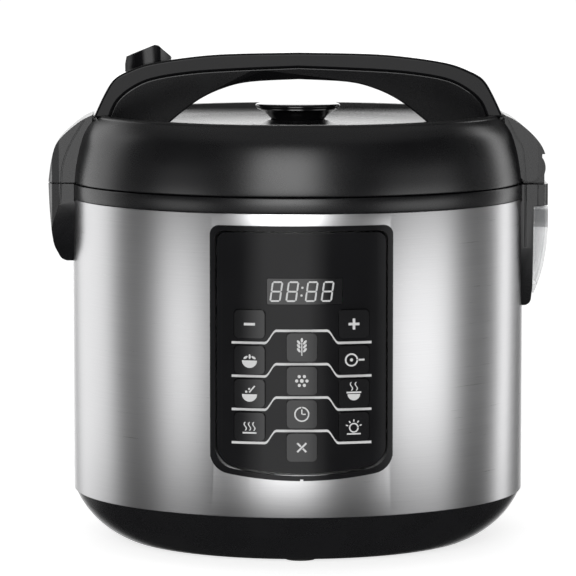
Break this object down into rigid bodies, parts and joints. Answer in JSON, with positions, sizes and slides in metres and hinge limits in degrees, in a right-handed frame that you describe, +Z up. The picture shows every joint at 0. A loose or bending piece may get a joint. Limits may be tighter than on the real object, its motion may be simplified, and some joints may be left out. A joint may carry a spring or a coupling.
{
  "type": "rice cooker",
  "caption": "Round steel-clad electric rice cooker with a front key panel, a hinged domed lid with a fixed carrying handle, a lift-off steam vent and a clear condensation cup.",
  "frame": {"origin": "on the table, at the middle of the base, under the body's axis", "axes": "+Z up, -Y towards the user (key panel), +X to the user's right (hinge side)"},
  "size_m": [0.2544, 0.234, 0.253],
  "materials": {
    "black_satin_plastic": "satin moulded black",
    "black_gloss_plastic": "glossy black",
    "brushed_steel": "brushed round the body, satin",
    "plain_steel": "plain zinc-plated",
    "aluminium": "spun, satin",
    "nonstick_coating": "dark speckled non-stick",
    "rubber": "matte",
    "silicone": "translucent grey silicone",
    "smoked_window": "smoked, glossy",
    "clear_plastic": "clear moulded plastic",
    "light_print": "light grey print",
    "display_black": "matte",
    "circuit_board": "green solder mask",
    "board_parts": "matte",
    "holder_plastic": "heat-resistant, matte",
    "brass_strip": "satin",
    "ceramic": "glazed sleeve"
  },
  "bodies": {
    "cooker_body": {"base_housing": "black_satin_plastic", "foot_pads": "rubber", "base_screws": "plain_steel", "outer_shell": "brushed_steel", "rim_collar": "black_satin_plastic", "inner_liner": "aluminium", "inner_pot": "nonstick_coating", "heating_plate": "aluminium", "heating_element": "aluminium", "sensor_holder": "holder_plastic", "sensor_spring": "plain_steel", "keep_warm_band": "brass_strip", "thermal_fuse": "ceramic", "power_board": "circuit_board", "power_board_parts": "board_parts", "power_inlet": "black_satin_plastic", "inlet_pins": "plain_steel", "panel_bezel": "black_satin_plastic", "panel_fascia": "black_gloss_plastic", "display_window": "smoked_window", "led_display": "display_black", "panel_lines": "light_print", "control_board": "circuit_board", "key_switches": "board_parts", "panel_housing": "black_satin_plastic", "board_screws": "plain_steel", "latch_column": "black_satin_plastic", "latch_strike": "plain_steel", "hinge_column": "black_satin_plastic", "hinge_pin": "plain_steel", "hinge_spring": "plain_steel"},
    "lid": {"lid_shell": "black_satin_plastic", "lid_liner": "black_satin_plastic", "inner_lid_plate": "aluminium", "lid_gasket": "silicone", "handle_top": "black_gloss_plastic", "handle_grip": "black_satin_plastic", "handle_screws": "plain_steel", "latch_cover": "black_satin_plastic", "hinge_cover": "black_satin_plastic", "button_spring": "plain_steel", "latch_pin": "plain_steel", "vent_seat": "black_satin_plastic"},
    "sensor": {"sensor_cap": "aluminium"},
    "cup": {"condensation_cup": "clear_plastic"},
    "button": {"release_button": "black_gloss_plastic"},
    "latch": {"latch_hook": "plain_steel"},
    "vent": {"vent_cap": "black_gloss_plastic"},
    "key_minus": {"key_minus": "black_gloss_plastic"},
    "key_plus": {"key_plus": "black_gloss_plastic"},
    "key_white_rice": {"key_white_rice": "black_gloss_plastic"},
    "key_brown_rice": {"key_brown_rice": "black_gloss_plastic"},
    "key_saute": {"key_saute": "black_gloss_plastic"},
    "key_oatmeal": {"key_oatmeal": "black_gloss_plastic"},
    "key_quinoa": {"key_quinoa": "black_gloss_plastic"},
    "key_soup": {"key_soup": "black_gloss_plastic"},
    "key_steam": {"key_steam": "black_gloss_plastic"},
    "key_delay": {"key_delay": "black_gloss_plastic"},
    "key_warm": {"key_warm": "black_gloss_plastic"},
    "key_cancel": {"key_cancel": "black_gloss_plastic"}
  },
  "joints": [
    {"name": "lid_hinge", "type": "hinge", "parent": "cooker_body", "child": "lid", "pos_m": [0.1175, 0, 0.1904], "axis": [0, 1, 0], "range_deg": [0, 80]},
    {"name": "release_press", "type": "slide", "parent": "lid", "child": "button", "axis": [0, 0, -1], "range_m": [0, 0.0026], "stiffness_N_per_m": 500, "springref_m": -0.004, "deforming": ["button_spring"]},
    {"name": "latch_swing", "type": "hinge", "parent": "lid", "child": "latch", "pos_m": [-0.1186, 0, 0.199], "axis": [0, 1, 0], "range_deg": [0, 7.6]},
    {"name": "vent_lift", "type": "slide", "parent": "lid", "child": "vent", "axis": [0, 0, 1], "range_m": [0, 0.01]},
    {"name": "cup_pull", "type": "slide", "parent": "cooker_body", "child": "cup", "axis": [1, 0, 0], "range_m": [0, 0.03]},
    {"name": "sensor_plunge", "type": "slide", "parent": "cooker_body", "child": "sensor", "axis": [0, 0, -1], "range_m": [0, 0.002], "stiffness_N_per_m": 300, "springref_m": -0.004, "deforming": ["sensor_spring"]},
    {"name": "press_minus", "type": "slide", "parent": "cooker_body", "child": "key_minus", "axis": [0, 1, 0], "range_m": [0, 0.0008], "stiffness_N_per_m": 400, "springref_m": -0.002},
    {"name": "press_plus", "type": "slide", "parent": "cooker_body", "child": "key_plus", "axis": [0, 1, 0], "range_m": [0, 0.0008], "stiffness_N_per_m": 400, "springref_m": -0.002},
    {"name": "press_white_rice", "type": "slide", "parent": "cooker_body", "child": "key_white_rice", "axis": [0, 1, 0], "range_m": [0, 0.0008], "stiffness_N_per_m": 400, "springref_m": -0.002},
    {"name": "press_brown_rice", "type": "slide", "parent": "cooker_body", "child": "key_brown_rice", "axis": [0, 1, 0], "range_m": [0, 0.0008], "stiffness_N_per_m": 400, "springref_m": -0.002},
    {"name": "press_saute", "type": "slide", "parent": "cooker_body", "child": "key_saute", "axis": [0, 1, 0], "range_m": [0, 0.0008], "stiffness_N_per_m": 400, "springref_m": -0.002},
    {"name": "press_oatmeal", "type": "slide", "parent": "cooker_body", "child": "key_oatmeal", "axis": [0, 1, 0], "range_m": [0, 0.0008], "stiffness_N_per_m": 400, "springref_m": -0.002},
    {"name": "press_quinoa", "type": "slide", "parent": "cooker_body", "child": "key_quinoa", "axis": [0, 1, 0], "range_m": [0, 0.0008], "stiffness_N_per_m": 400, "springref_m": -0.002},
    {"name": "press_soup", "type": "slide", "parent": "cooker_body", "child": "key_soup", "axis": [0, 1, 0], "range_m": [0, 0.0008], "stiffness_N_per_m": 400, "springref_m": -0.002},
    {"name": "press_steam", "type": "slide", "parent": "cooker_body", "child": "key_steam", "axis": [0, 1, 0], "range_m": [0, 0.0008], "stiffness_N_per_m": 400, "springref_m": -0.002},
    {"name": "press_delay", "type": "slide", "parent": "cooker_body", "child": "key_delay", "axis": [0, 1, 0], "range_m": [0, 0.0008], "stiffness_N_per_m": 400, "springref_m": -0.002},
    {"name": "press_warm", "type": "slide", "parent": "cooker_body", "child": "key_warm", "axis": [0, 1, 0], "range_m": [0, 0.0008], "stiffness_N_per_m": 400, "springref_m": -0.002},
    {"name": "press_cancel", "type": "slide", "parent": "cooker_body", "child": "key_cancel", "axis": [0, 1, 0], "range_m": [0, 0.0008], "stiffness_N_per_m": 400, "springref_m": -0.002}
  ],
  "couplings": [
    {"joint": "latch_swing", "follows": "release_press", "rad_per_m": 50}
  ]
}
